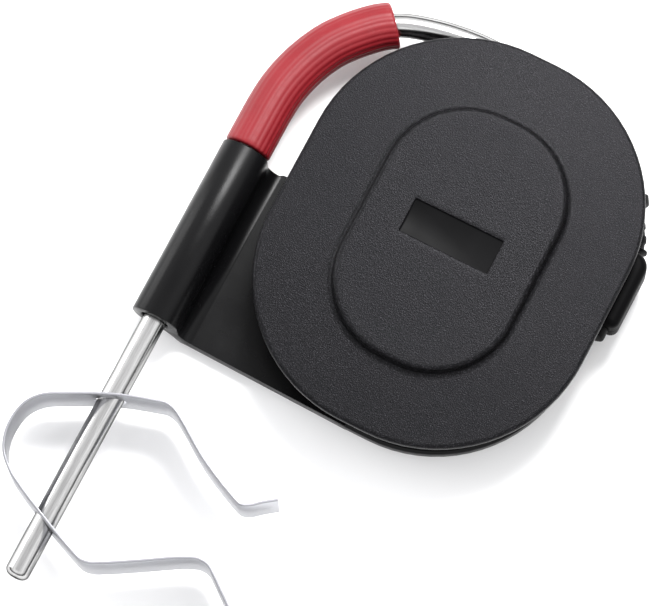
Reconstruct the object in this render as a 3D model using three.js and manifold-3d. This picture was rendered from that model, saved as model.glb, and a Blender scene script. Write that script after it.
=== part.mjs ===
// Wired ambient probe of a grill thermometer, stored on its cable winder.
//
// Frame, millimetres, +Z up:
//   the winder lies on its rear face, which is z = 0, with the face's centre at the origin;
//   +Z comes out of the front cover; +Y runs along the probe rod towards its bend;
//   +X runs across the label recess towards the jack plug.
//
// Bodies: the winder (front cover, rear body, screws, cable), the probe (rod, sleeve,
// ferrule and what is inside the rod), the jack plug and the spring clip.

import * as THREE from "three";
import { mergeVertices } from "three/addons/utils/BufferGeometryUtils.js";
import Module from "manifold-3d";

const wasm = await Module();
wasm.setup();

// ------------------------------------------------------------------ driving dimensions

const COVER = { hx: 28.2, hy: 34.3, r: 26.0, z0: 11.2, z1: 13.0, edge: 0.7 };
const ISLAND = { x: 0.17, y: -0.07, hx: 15.4, hy: 22.3, r: 14.0, z1: 14.8, draft: 1.3 };
const LABEL = { w: 15.9, h: 6.1, depth: 0.4, y: 0.33 };
const REAR = { hx: 26.45, hy: 33.0, r: 24.3, t: 2.5, edge: 0.6 };
const HUB = { hx: 12.9, hy: 19.0, r: 10.7, wall: 1.8, z1: 10.9 };
const SKIRT = { gap: 0.3, wall: 1.2, z0: 8.6 };
const BOSS = { x: 6.5, y: 12.0, r: 2.7, pilot: 1.3, z0: 2.8, pilotTop: 9.6, cavityTop: 12.6 };
const SCREW = { headR: 2.2, headZ0: 0.2, headZ1: 1.5, shankR: 1.0, z1: 9.0, boreR: 2.55, throughR: 1.35 };
const SHEATH = { x: -37.0, z: 7.0, r: 4.1, bore: 2.35, y0: -32.3, y1: -0.45 };
const WEB = { y0: -32.3, y1: -0.05, filletR: 3.2 };
const CRADLE = { x0: 22.5, x1: 26.6, y0: -11.0, y1: -3.6, z1: 10.5, slot: 1.6 };

const ROD = { r: 2.0, bore: 1.6, tipY: -80.0, tipRound: 0.7, plug: 0.9 };
const SLEEVE = { r: 3.98, bore: 2.25, y0: -0.1, skew: 11 };
const CABLE = { r: 1.0 };
const PLUG = { x: 26.2, y0: -0.35, z: 6.8, w: 8.2, t: 7.2, y1: 13.3, collarR: 2.85, collarY: -1.9, cavityR: 2.3 };
const JACK = { r: 1.25, tipY: -12.9 };
const CLIP = { t: 0.45, z0: 2.6, z1: 11.4, holeR: 2.45 };

// ------------------------------------------------------------------ small helpers

const V2 = (x, y) => new THREE.Vector2(x, y);
const V3 = (x, y, z) => new THREE.Vector3(x, y, z);

// A geometry as a solid: position only, welded, faces out.
function solid(geometry) {
  const g = geometry.clone();
  for (const name of Object.keys(g.attributes)) if (name !== "position") g.deleteAttribute(name);
  const welded = mergeVertices(g, 1e-5);
  const p = welded.attributes.position.array;
  const index = Array.from(welded.index.array);
  let volume = 0;
  const kept = [];
  for (let i = 0; i < index.length; i += 3) {
    const [a, b, c] = [index[i], index[i + 1], index[i + 2]];
    if (a === b || b === c || a === c) continue;
    kept.push(a, b, c);
    const A = V3(...p.slice(3 * a, 3 * a + 3));
    const B = V3(...p.slice(3 * b, 3 * b + 3));
    const C = V3(...p.slice(3 * c, 3 * c + 3));
    volume += A.dot(B.cross(C)) / 6;
  }
  if (volume < 0) for (let i = 0; i < kept.length; i += 3) [kept[i], kept[i + 1]] = [kept[i + 1], kept[i]];
  return new wasm.Manifold(
    new wasm.Mesh({ numProp: 3, vertProperties: new Float32Array(p), triVerts: new Uint32Array(kept) }),
  );
}

// A solid back to a geometry.
function geometryOf(body) {
  const m = body.getMesh();
  const g = new THREE.BufferGeometry();
  g.setAttribute("position", new THREE.BufferAttribute(new Float32Array(m.vertProperties), 3));
  g.setIndex(new THREE.BufferAttribute(new Uint32Array(m.triVerts), 1));
  g.computeVertexNormals();
  return g;
}

// Outline of a rounded rectangle, n steps to a quarter, counter-clockwise.
function roundedRect(hx, hy, r, n, cx = 0, cy = 0) {
  const points = [];
  const centres = [[hx - r, hy - r, 0], [-hx + r, hy - r, 90], [-hx + r, -hy + r, 180], [hx - r, -hy + r, 270]];
  for (const [x, y, start] of centres)
    for (let i = 0; i <= n; i++) {
      const a = ((start + (90 * i) / n) * Math.PI) / 180;
      points.push(V2(cx + x + r * Math.cos(a), cy + y + r * Math.sin(a)));
    }
  return points;
}

// A plate of the given outline between two heights, with optional rounded edges.
function plate(points, z0, z1, edge = 0, segments = 2) {
  const g = new THREE.ExtrudeGeometry(new THREE.Shape(points), {
    depth: z1 - z0 - 2 * edge,
    steps: 1,
    curveSegments: 1,
    bevelEnabled: edge > 0,
    bevelThickness: edge,
    bevelSize: edge,
    bevelOffset: -edge,
    bevelSegments: segments,
  });
  g.translate(0, 0, z0 + edge);
  return solid(g);
}

function box(x0, x1, y0, y1, z0, z1) {
  const g = new THREE.BoxGeometry(x1 - x0, y1 - y0, z1 - z0);
  g.translate((x0 + x1) / 2, (y0 + y1) / 2, (z0 + z1) / 2);
  return solid(g);
}

// An upright round bar on the Z axis at (x, y).
function bar(x, y, r, z0, z1, sides = 20) {
  const g = new THREE.CylinderGeometry(r, r, z1 - z0, sides);
  g.rotateX(Math.PI / 2);
  g.translate(x, y, (z0 + z1) / 2);
  return solid(g);
}

// A turned piece on a Y axis through (x, z); profile is a closed ring of [radius, y].
function turned(profile, x, z, sides = 24) {
  const points = profile.map(([r, y]) => V2(r, y));
  points.push(points[0].clone());
  const g = new THREE.LatheGeometry(points, sides);
  g.translate(x, 0, z);
  return solid(g);
}

// A path given by its stations and the direction at each.
class StationPath extends THREE.Curve {
  constructor(points, tangents) {
    super();
    this.points = points;
    this.tangents =
      tangents ??
      points.map((p, i) =>
        points[Math.min(i + 1, points.length - 1)].clone().sub(points[Math.max(i - 1, 0)]).normalize(),
      );
  }
  get steps() { return this.points.length - 1; }
  getPoint(t, target = new THREE.Vector3()) {
    const s = Math.min(Math.max(t, 0), 1) * this.steps;
    const i = Math.min(Math.floor(s), this.steps - 1);
    return target.copy(this.points[i]).lerp(this.points[i + 1], s - i);
  }
  getPointAt(u, target) { return this.getPoint(u, target); }
  getTangent(t, target = new THREE.Vector3()) { return target.copy(this.tangents[Math.round(t * this.steps)]); }
  getTangentAt(u, target) { return this.getTangent(u, target); }
  getSpacedPoints() { return this.points.map((p) => p.clone()); }
  getLength() {
    let sum = 0;
    for (let i = 1; i < this.points.length; i++) sum += this.points[i].distanceTo(this.points[i - 1]);
    return sum;
  }
}

// A round bar swept along a path.
function swept(path, r, sides) {
  const ring = [];
  for (let i = 0; i < sides; i++) {
    const a = (2 * Math.PI * (i + 0.5)) / sides;
    ring.push(V2(r * Math.cos(a), r * Math.sin(a)));
  }
  return solid(
    new THREE.ExtrudeGeometry(new THREE.Shape(ring), {
      steps: path.steps, curveSegments: 1, bevelEnabled: false, extrudePath: path,
    }),
  );
}

// ------------------------------------------------------------------ rod route

// The rod runs straight up the sheath, bends over towards +X and dips into the groove.
const ROD_LINE = [
  [-37.0, -6.0], [-37.0, 1.0], [-37.0, 7.0], [-36.7, 11.6], [-35.8, 15.7], [-34.55, 19.1], [-33.0, 22.1],
  [-31.15, 24.6], [-28.95, 27.0], [-27.15, 28.62], [-25.2, 29.9], [-23.3, 30.8], [-21.4, 31.42], [-19.3, 31.98],
  [-16.5, 32.58], [-13.0, 33.05], [-9.8, 33.2], [-6.5, 33.0], [-3.2, 32.3], [1.0, 31.15], [3.0, 30.55],
];
const ROD_BEND_FROM = 2;
const ROD_END_AT = 19;

function rodRoute() {
  const stations = [];
  for (const y of [ROD.tipY, ROD.tipY + ROD.tipRound, -72, -60, -48, -34, -20, -6, SLEEVE.y0])
    stations.push({ x: SHEATH.x, y, heading: 90 });
  const curve = new THREE.CatmullRomCurve3(ROD_LINE.map(([x, y]) => V3(x, y, 0)), false, "centripetal");
  const n = ROD_LINE.length - 1;
  for (let i = ROD_BEND_FROM; i <= ROD_END_AT; i++) {
    const p = curve.getPoint(i / n);
    const d = curve.getTangent(i / n);
    stations.push({ x: p.x, y: p.y, heading: (Math.atan2(d.y, d.x) * 180) / Math.PI });
  }
  return stations;
}

function toPath(stations, z = SHEATH.z) {
  const points = stations.map((s) => V3(s.x, s.y, z));
  const tangents = stations.map((s) => {
    const a = (s.heading * Math.PI) / 180;
    return V3(Math.cos(a), Math.sin(a), 0);
  });
  return new StationPath(points, tangents);
}

const route = rodRoute();
const rodEnd = route[route.length - 1];
const endDir = V3(Math.cos((rodEnd.heading * Math.PI) / 180), Math.sin((rodEnd.heading * Math.PI) / 180), 0);

// ------------------------------------------------------------------ cable winding

// Stations round the hub, clockwise seen from the front, 24 to a turn, starting at the top of
// the hub's right flank. side() gives the point on the hub and its outward normal at a station.
const TURN = 24;
const CORNERS = [
  { flank: 3, centre: [1, -1], from: 0 },
  { flank: 1, centre: [-1, -1], from: -90 },
  { flank: 3, centre: [-1, 1], from: -180 },
  { flank: 1, centre: [1, 1], from: -270 },
];
function hubPoint(s) {
  let phase = ((s % TURN) + TURN) % TURN;
  const sx = HUB.hx - HUB.r;
  const sy = HUB.hy - HUB.r;
  for (let k = 0; k < 4; k++) {
    const corner = CORNERS[k];
    const cx = corner.centre[0] * sx;
    const cy = corner.centre[1] * sy;
    const previous = CORNERS[(k + 3) % 4].centre;
    if (phase <= corner.flank) {
      const a = (corner.from * Math.PI) / 180;
      const t = phase / corner.flank;
      const x = previous[0] * sx + (cx - previous[0] * sx) * t;
      const y = previous[1] * sy + (cy - previous[1] * sy) * t;
      return { cx: x, cy: y, nx: Math.cos(a), ny: Math.sin(a) };
    }
    phase -= corner.flank;
    if (phase <= 4) {
      const a = ((corner.from - 22.5 * phase) * Math.PI) / 180;
      return { cx, cy, nx: Math.cos(a), ny: Math.sin(a) };
    }
    phase -= 4;
  }
  throw new Error("no station");
}
function onHub(s, offset, z) {
  const h = hubPoint(s);
  return V3(h.cx + h.nx * (HUB.r + offset), h.cy + h.ny * (HUB.r + offset), z);
}

const LANE_Z = [3.9, 6.6, 9.3];
const LAYER = [1.25, 3.45, 5.65, 7.6];
const smooth = (t) => { const u = Math.min(Math.max(t, 0), 1); return u * u * (3 - 2 * u); };
const step = (s, a, b) => smooth((s - a) / (b - a));
const mix = (a, b, t) => a + (b - a) * t;

// Lane (height) and layer (distance from the hub) along the winding.
const WIND_START = 0;
const WIND_END = 164;
function laneOf(s) {
  let z = LANE_Z[0];
  z = mix(z, LANE_Z[1], step(s, 15, 19));
  z = mix(z, LANE_Z[2], step(s, 39, 43));
  z = mix(z, LANE_Z[1], step(s, 80, 84));
  z = mix(z, LANE_Z[2], step(s, 121, 124.5));
  return z;
}
function layerOf(s) {
  let d = LAYER[0];
  d = mix(d, LAYER[1], step(s, 60, 63));
  d = mix(d, LAYER[2], step(s, 100, 104));
  d = mix(d, LAYER[3], step(s, 141, 144));
  return d;
}
const windingPoints = [];
for (let s = WIND_START; s <= WIND_END; s++) windingPoints.push(onHub(s, layerOf(s), laneOf(s)));

// ------------------------------------------------------------------ cable leads

// Where the cable leaves the ferrule, and where it enters the strain relief.
const FERRULE = { back: 3.2, front: 6.2, r: 2.75, neck: 1.75 };
const leadStart = V3(rodEnd.x, rodEnd.y, SHEATH.z).addScaledVector(endDir, FERRULE.front - 4.0);

function bezierPoints(a, da, b, db, n) {
  const curve = new THREE.CubicBezierCurve3(a, a.clone().add(da), b.clone().sub(db), b);
  return curve.getPoints(n);
}

// From the ferrule down beside the rear plate, then in under the turns to the hub.
const leadProbePoints = (() => {
  const a = leadStart;
  const b = leadStart.clone().addScaledVector(endDir, 4.6);
  const mid = onHub(21.3, 8.4, LANE_Z[0]);
  const end = onHub(24, LAYER[0], LANE_Z[0]);
  const midDir = onHub(21.8, 7.6, LANE_Z[0]).sub(onHub(20.8, 9.2, LANE_Z[0])).normalize();
  const endTangent = V3(0, -1, 0);
  const first = bezierPoints(b, endDir.clone().multiplyScalar(3.0), mid, midDir.clone().multiplyScalar(4.0), 5);
  const second = bezierPoints(mid, midDir.clone().multiplyScalar(6.5), end, endTangent.clone().multiplyScalar(6.5), 5);
  return [a, ...first, ...second.slice(1)];
})();

// The strain relief's own axis, from the plug towards the coil.
const RELIEF_STATIONS = [
  { x: PLUG.x, y: PLUG.y0 + PLUG.y1 + 0.02, heading: 90, r: 2.9, t: 0.6 },
  { x: 25.5, y: 15.1, heading: 112, r: 2.5, t: 1.0 },
  { x: 24.55, y: 16.95, heading: 117, r: 2.4, t: 1.0 },
  { x: 23.5, y: 18.75, heading: 120, r: 2.3, t: 1.0 },
  { x: 22.35, y: 20.6, heading: 120, r: 3.25, t: 1.9 },
  { x: 21.6, y: 21.9, heading: 120, r: 2.2, t: 0.6 },
];
const reliefEnd = RELIEF_STATIONS[RELIEF_STATIONS.length - 1];
const reliefOut = V3(Math.cos((reliefEnd.heading * Math.PI) / 180), Math.sin((reliefEnd.heading * Math.PI) / 180), 0);

// From the last turn outwards to the strain relief.
const leadPlugPoints = (() => {
  const a = onHub(WIND_END, layerOf(WIND_END), laneOf(WIND_END));
  const before = onHub(WIND_END - 1, layerOf(WIND_END - 1), laneOf(WIND_END - 1));
  const dir = a.clone().sub(before).normalize();
  const mouth = V3(reliefEnd.x, reliefEnd.y, PLUG.z);
  const curve = bezierPoints(a, dir.clone().multiplyScalar(8), mouth, reliefOut.clone().multiplyScalar(-8), 7);
  const inside = [4, 3, 2].map((i) => V3(RELIEF_STATIONS[i].x, RELIEF_STATIONS[i].y, PLUG.z));
  return [...curve, ...inside];
})();

// ------------------------------------------------------------------ winder

// Front cover: flange, raised island with its label recess, skirt and four screw bosses.
function frontCover() {
  let body = plate(roundedRect(COVER.hx, COVER.hy, COVER.r, 14), COVER.z0, COVER.z1, COVER.edge, 2);
  const islandRise = ISLAND.z1 - COVER.z1;
  const top = roundedRect(ISLAND.hx - ISLAND.draft, ISLAND.hy - ISLAND.draft, ISLAND.r - ISLAND.draft, 10, ISLAND.x, ISLAND.y);
  const island = new THREE.ExtrudeGeometry(new THREE.Shape(top), {
    depth: 0.6, steps: 1, curveSegments: 1,
    bevelEnabled: true, bevelThickness: islandRise, bevelSize: ISLAND.draft, bevelSegments: 3,
  });
  // the bevel's lower half is cut off, so that only the drafted wall stands on the flange
  island.translate(0, 0, COVER.z1 - 0.6 );
  let rise = solid(island).intersect(box(-40, 40, -40, 40, COVER.z1 - 0.5, ISLAND.z1 + 5));
  body = body.add(rise);
  const s = HUB.hx - HUB.wall - SKIRT.gap;
  const t = HUB.hy - HUB.wall - SKIRT.gap;
  const r = HUB.r - HUB.wall - SKIRT.gap;
  body = body.add(plate(roundedRect(s, t, r, 8), SKIRT.z0, COVER.z0 + 0.4));
  body = body.subtract(
    plate(roundedRect(s - SKIRT.wall, t - SKIRT.wall, r - SKIRT.wall, 8), SKIRT.z0 - 1, BOSS.cavityTop),
  );
  for (const x of [-BOSS.x, BOSS.x])
    for (const y of [-BOSS.y, BOSS.y]) body = body.add(bar(x, y, BOSS.r, BOSS.z0, BOSS.cavityTop + 0.4));
  for (const x of [-BOSS.x, BOSS.x])
    for (const y of [-BOSS.y, BOSS.y]) body = body.subtract(bar(x, y, BOSS.pilot, BOSS.z0 - 1, BOSS.pilotTop, 12));
  const w = LABEL.w / 2;
  const h = LABEL.h / 2;
  body = body.subtract(plate(roundedRect(w, h, 0.35, 2, ISLAND.x, LABEL.y), ISLAND.z1 - LABEL.depth, ISLAND.z1 + 2));
  return body;
}

// Rear body: rear plate, hub wall, web, rod sheath and the cradle that holds the jack.
function rearBody() {
  let body = plate(roundedRect(REAR.hx, REAR.hy, REAR.r, 14), 0, REAR.t, REAR.edge, 2);
  body = body.add(plate(roundedRect(HUB.hx, HUB.hy, HUB.r, 8), REAR.t - 0.5, HUB.z1));
  body = body.subtract(
    plate(roundedRect(HUB.hx - HUB.wall, HUB.hy - HUB.wall, HUB.r - HUB.wall, 8), REAR.t, HUB.z1 + 1),
  );
  // web in plan, with the hollow corner between its top edge and the rear plate
  const web = [V2(-30.5, WEB.y0), V2(-2, -32.95), V2(-2, -18), V2(-20, 0)];
  web.push(V2(-20, 3.0));
  for (let i = 0; i <= 5; i++) {
    const a = (i * 18 * Math.PI) / 180;
    web.push(V2(-REAR.hx + 0.15 - WEB.filletR + WEB.filletR * Math.cos(a), WEB.y1 + WEB.filletR - WEB.filletR * Math.sin(a)));
  }
  web.push(V2(-30.5, SHEATH.y1));
  body = body.add(plate(web, 0, REAR.t));
  // sheath in section (x, z), blended into the web
  const section = [V2(-27.5, 0), V2(-27.5, 2.5), V2(-30.4, 2.5), V2(-31.5, 2.62), V2(-32.25, 3.0), V2(-32.75, 3.65), V2(-32.9, 4.5)];
  for (let i = 0; i <= 19; i++) {
    const a = (i * 15 * Math.PI) / 180;
    section.push(V2(SHEATH.x + SHEATH.r * Math.cos(a), SHEATH.z + SHEATH.r * Math.sin(a)));
  }
  section.push(V2(-34.75, 2.3), V2(-33.8, 1.1), V2(-33.25, 0.35), V2(-32.8, 0));
  const bar1 = new THREE.ExtrudeGeometry(new THREE.Shape(section), {
    depth: SHEATH.y1 - SHEATH.y0, steps: 1, curveSegments: 1, bevelEnabled: false,
  });
  // section (x, z) extruded along -Y: (x, y, z) -> (x, -z, y)
  bar1.rotateX(Math.PI / 2);
  bar1.translate(0, SHEATH.y1, 0);
  body = body.add(solid(bar1));
  const bore = new THREE.CylinderGeometry(SHEATH.bore, SHEATH.bore, 40, 24);
  bore.translate(SHEATH.x, (SHEATH.y0 + SHEATH.y1) / 2, SHEATH.z);
  body = body.subtract(solid(bore));
  // jack cradle, open towards +X
  let cradle = box(CRADLE.x0, CRADLE.x1, CRADLE.y0, CRADLE.y1, 1.0, CRADLE.z1);
  const slot = new THREE.CylinderGeometry(CRADLE.slot, CRADLE.slot, 20, 20);
  slot.translate(PLUG.x, (CRADLE.y0 + CRADLE.y1) / 2, PLUG.z);
  cradle = cradle.subtract(solid(slot));
  cradle = cradle.subtract(
    box(PLUG.x, CRADLE.x1 + 1, CRADLE.y0 - 1, CRADLE.y1 + 1, PLUG.z - CRADLE.slot, PLUG.z + CRADLE.slot),
  );
  cradle = cradle.subtract(box(25.6, 30, -20, 0, 0, REAR.t + 0.1));
  body = body.add(cradle);
  // screw holes, sunk from the rear
  for (const x of [-BOSS.x, BOSS.x])
    for (const y of [-BOSS.y, BOSS.y]) {
      body = body.subtract(bar(x, y, SCREW.boreR, -1, 1.65));
      body = body.subtract(bar(x, y, SCREW.throughR, -1, REAR.t + 1, 16));
    }
  return body;
}

// Pan-head self-tapping screw with a cross recess, driven from the rear.
function coverScrew(x, y) {
  const profile = [
    V2(0, SCREW.headZ0), V2(SCREW.headR - 0.5, SCREW.headZ0), V2(SCREW.headR - 0.1, SCREW.headZ0 + 0.35),
    V2(SCREW.headR, SCREW.headZ1), V2(SCREW.shankR, SCREW.headZ1), V2(SCREW.shankR, SCREW.z1 - 0.8),
    V2(0.35, SCREW.z1), V2(0, SCREW.z1),
  ];
  const g = new THREE.LatheGeometry(profile, 16);
  g.rotateX(Math.PI / 2);
  let body = solid(g);
  body = body.subtract(box(-1.2, 1.2, -0.22, 0.22, -1, 0.85));
  body = body.subtract(box(-0.22, 0.22, -1.2, 1.2, -1, 0.85));
  return body.translate([x, y, 0]);
}

// ------------------------------------------------------------------ probe

// Steel tube, closed and rounded at the tip, open at the cable end.
function probeTube() {
  const shaft = route.slice(1);
  let body = swept(toPath(shaft), ROD.r, 16);
  const nose = new THREE.LatheGeometry(
    [V2(0, 0), V2(ROD.r - 0.75, 0), V2(ROD.r - 0.2, 0.25), V2(ROD.r, ROD.tipRound), V2(ROD.r, 3), V2(0, 3)],
    16,
    Math.PI / 16,
  );
  nose.translate(SHEATH.x, ROD.tipY, SHEATH.z);
  body = body.add(solid(nose));
  const inner = route.slice(1).map((s) => ({ ...s }));
  inner[0].y = ROD.tipY + ROD.plug;
  const last = inner[inner.length - 1];
  inner.push({ x: last.x + endDir.x * 1.0, y: last.y + endDir.y * 1.0, heading: last.heading });
  return body.subtract(swept(toPath(inner), ROD.bore, 12));
}

// Ribbed silicone sleeve over the start of the bend.
const SLEEVE_LAST = 18; // stations of the route up to the sleeve's upper end
function gripSleeve() {
  const stations = route.slice(8, SLEEVE_LAST).map((s) => ({ ...s }));
  stations[0].y = SLEEVE.y0;
  stations[stations.length - 1].heading += SLEEVE.skew;
  const path = toPath(stations);
  const cut = stations.map((s) => ({ ...s }));
  const head = cut[0];
  head.y -= 1;
  const tail = cut[cut.length - 1];
  const a = (tail.heading * Math.PI) / 180;
  cut.push({ x: tail.x + Math.cos(a), y: tail.y + Math.sin(a), heading: tail.heading });
  return swept(path, SLEEVE.r, 20).subtract(swept(toPath(cut), SLEEVE.bore, 16));
}

// Crimped ferrule that closes the tube on the cable.
function crimpFerrule() {
  const profile = [
    [ROD.r + 0.28, 0], [FERRULE.r, 0], [FERRULE.r, FERRULE.back + 0.4], [FERRULE.neck, FERRULE.back + 1.6],
    [FERRULE.neck, FERRULE.back + FERRULE.front], [CABLE.r + 0.28, FERRULE.back + FERRULE.front],
    [CABLE.r + 0.28, FERRULE.back + 0.35], [ROD.r + 0.28, FERRULE.back + 0.35],
  ];
  const g = new THREE.LatheGeometry([...profile, profile[0]].map(([r, y]) => V2(r, y)), 20);
  const q = new THREE.Quaternion().setFromUnitVectors(V3(0, 1, 0), endDir);
  g.applyQuaternion(q);
  const at = V3(rodEnd.x, rodEnd.y, SHEATH.z).addScaledVector(endDir, -FERRULE.back);
  g.translate(at.x, at.y, at.z);
  return solid(g);
}

// Inside the tip: cast potting cup with the thermistor bead in its bore.
function tipPotting() {
  return turned([[0, 2.8], [0, 1.1], [1.35, 1.1], [1.35, 8.5], [0.95, 8.5], [0.95, 2.8]].map(([r, y]) => [r, ROD.tipY + y]), SHEATH.x, SHEATH.z, 16);
}
function sensorBead() {
  const g = new THREE.SphereGeometry(0.75, 14, 10);
  g.scale(1, 1.25, 1);
  g.translate(SHEATH.x, ROD.tipY + 4.0, SHEATH.z);
  return solid(g);
}
function leadWire(side) {
  const stations = route.slice(1).map((s) => ({ ...s }));
  stations[0].y = ROD.tipY + 5.1;
  const path = toPath(stations, SHEATH.z + side * 0.42);
  return swept(path, 0.28, 6);
}
function leadInsulation() {
  const stations = route.slice(2).map((s) => ({ ...s }));
  stations[0].y = ROD.tipY + 11;
  const inner = stations.map((s) => ({ ...s }));
  inner[0].y = ROD.tipY + 10;
  const tail = inner[inner.length - 1];
  inner.push({ x: tail.x + endDir.x, y: tail.y + endDir.y, heading: tail.heading });
  return swept(toPath(stations), 1.3, 10).subtract(swept(toPath(inner), 0.95, 10));
}

// ------------------------------------------------------------------ plug

function plugBody() {
  const w = PLUG.w / 2;
  const b = 1.3;
  const outline = [];
  const corner = (cx, cy, r, from, n) => {
    for (let i = 0; i <= n; i++) {
      const a = ((from + (90 * i) / n) * Math.PI) / 180;
      outline.push(V2(cx + r * Math.cos(a), cy + r * Math.sin(a)));
    }
  };
  corner(w - 2.6, PLUG.y1 - 2.6, 2.6, 0, 4);
  corner(-w + 2.6, PLUG.y1 - 2.6, 2.6, 90, 4);
  corner(-w + 1.4, 1.4, 1.4, 180, 3);
  corner(w - 1.4, 1.4, 1.4, 270, 3);
  let body = plate(outline, -PLUG.t / 2, PLUG.t / 2, b, 3).translate([PLUG.x, 0, PLUG.z]);
  body = body.add(turned([[0, 0.6], [PLUG.collarR, 0.6], [PLUG.collarR, PLUG.collarY], [0, PLUG.collarY]], PLUG.x, PLUG.z, 24));
  body = body.subtract(turned([[0, -5], [JACK.r + 0.15, -5], [JACK.r + 0.15, 1.0], [PLUG.cavityR, 1.0], [PLUG.cavityR, 11.6], [1.35, 11.6], [1.35, 20], [0, 20]], PLUG.x, PLUG.z, 20));
  return body;
}

// Ribbed strain relief, bent with the cable.
function strainRelief() {
  const path = toPath(RELIEF_STATIONS, PLUG.z);
  let body = swept(path, 1.95, 16);
  RELIEF_STATIONS.forEach((s, i) => {
    const { r, t } = s;
    const g = new THREE.CylinderGeometry(r, r, t, 20);
    const a = (s.heading * Math.PI) / 180;
    const d = V3(Math.cos(a), Math.sin(a), 0);
    g.applyQuaternion(new THREE.Quaternion().setFromUnitVectors(V3(0, 1, 0), d));
    const shift = i === 0 ? t / 2 : i === RELIEF_STATIONS.length - 1 ? -t / 2 : 0;
    g.translate(s.x + d.x * shift, s.y + d.y * shift, PLUG.z);
    body = body.add(solid(g));
  });
  const long = RELIEF_STATIONS.map((s) => ({ ...s }));
  long[0].y -= 1;
  const tail = long[long.length - 1];
  long.push({ x: tail.x + reliefOut.x, y: tail.y + reliefOut.y, heading: tail.heading });
  return body.subtract(swept(toPath(long, PLUG.z), 1.4, 12));
}

function jackSleeve() {
  return turned([[0.85, -9.9], [JACK.r, -9.9], [JACK.r, 1.3], [1.9, 1.3], [1.9, 2.6], [1.45, 2.6], [1.45, 4.2], [0.85, 4.2]], PLUG.x, PLUG.z, 20);
}
function jackInsulator() {
  return turned([[0.5, -10.7], [JACK.r, -10.7], [JACK.r, -10.0], [0.78, -10.0], [0.78, 5.2], [0.5, 5.2]], PLUG.x, PLUG.z, 20);
}
function jackTip() {
  return turned([[0, 6.6], [0, JACK.tipY], [0.45, JACK.tipY], [1.15, -12.0], [0.85, -11.5], [JACK.r, -11.05], [JACK.r, -10.8], [0.43, -10.8], [0.43, 6.6]], PLUG.x, PLUG.z, 20);
}
function tipLug() {
  return turned([[0.5, 5.5], [0.95, 5.5], [0.95, 7.4], [0.5, 7.4]], PLUG.x, PLUG.z, 16)
    .add(box(PLUG.x - 0.5, PLUG.x + 0.5, 7.2, 10.2, PLUG.z - 0.2, PLUG.z + 0.2));
}

// ------------------------------------------------------------------ clip

// Spring clip: one bent strip, with the rod through a hole in each arm.
const CLIP_LINE = [
  [-4.9, -50.2], [-6.9, -51.7], [-8.6, -53.1], [-10.0, -53.6], [-11.6, -53.1], [-18.5, -49.8], [-24.6, -45.8],
  [-26.6, -44.7], [-28.2, -44.4], [-30.2, -44.9], [-36.5, -47.0], [-43.2, -50.3], [-46.6, -52.3], [-48.4, -54.6],
  [-49.1, -57.3], [-48.95, -60.25], [-47.8, -63.0], [-45.5, -65.35], [-42.5, -67.15], [-37.3, -69.6], [-30.6, -72.5],
  [-28.4, -73.2], [-26.8, -73.0], [-25.0, -72.1], [-20.6, -69.5], [-13.9, -65.4], [-11.6, -64.5], [-9.9, -64.7],
  [-8.4, -65.7], [-6.2, -67.4], [-3.7, -69.3],
];
function grillClip() {
  const curve = new THREE.CatmullRomCurve3(CLIP_LINE.map(([x, y]) => V3(x, y, 0)), false, "centripetal");
  const n = CLIP_LINE.length - 1;
  const line = [];
  for (let i = 0; i <= n; i++) line.push(curve.getPoint(i / n));
  const normals = line.map((p, i) => {
    const d = line[Math.min(i + 1, n)].clone().sub(line[Math.max(i - 1, 0)]).normalize();
    return V3(-d.y, d.x, 0);
  });
  const left = line.map((p, i) => V2(p.x + (normals[i].x * CLIP.t) / 2, p.y + (normals[i].y * CLIP.t) / 2));
  const right = line.map((p, i) => V2(p.x - (normals[i].x * CLIP.t) / 2, p.y - (normals[i].y * CLIP.t) / 2));
  let body = plate([...left, ...right.reverse()], CLIP.z0, CLIP.z1);
  const hole = new THREE.CylinderGeometry(CLIP.holeR, CLIP.holeR, 60, 20);
  hole.translate(SHEATH.x, -59, SHEATH.z);
  return body.subtract(solid(hole));
}

// ------------------------------------------------------------------ the assembly

const finishes = {
  grained: { color: 0x2c2c2f, roughness: 0.62, metalness: 0.0 },
  smooth: { color: 0x18181a, roughness: 0.38, metalness: 0.0 },
  plug: { color: 0x1a1a1c, roughness: 0.45, metalness: 0.0 },
  silicone: { color: 0xb8323c, roughness: 0.5, metalness: 0.0 },
  steel: { color: 0xd8d9db, roughness: 0.12, metalness: 1.0 },
  strip: { color: 0xb9b8b4, roughness: 0.32, metalness: 1.0 },
  braid: { color: 0x9b9c9e, roughness: 0.42, metalness: 1.0 },
  screw: { color: 0x9a9b9d, roughness: 0.35, metalness: 1.0 },
  nickel: { color: 0xc9c7c0, roughness: 0.2, metalness: 1.0 },
  insulator: { color: 0x111112, roughness: 0.4, metalness: 0.0 },
  potting: { color: 0xd9d2bd, roughness: 0.7, metalness: 0.0 },
  bead: { color: 0x2b3c2c, roughness: 0.3, metalness: 0.0 },
  copper: { color: 0xc27a4a, roughness: 0.3, metalness: 1.0 },
  fibre: { color: 0xe6e0cf, roughness: 0.8, metalness: 0.0 },
};

function piece(name, body, finish) {
  const f = finishes[finish];
  const mesh = new THREE.Mesh(geometryOf(body), new THREE.MeshStandardMaterial(f));
  mesh.name = name;
  return mesh;
}

const winder = new THREE.Group();
winder.add(piece("front_cover", frontCover(), "grained"));
winder.add(piece("rear_body", rearBody(), "smooth"));
let number = 1;
for (const y of [BOSS.y, -BOSS.y])
  for (const x of [-BOSS.x, BOSS.x]) winder.add(piece(`cover_screw_${number++}`, coverScrew(x, y), "screw"));

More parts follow.
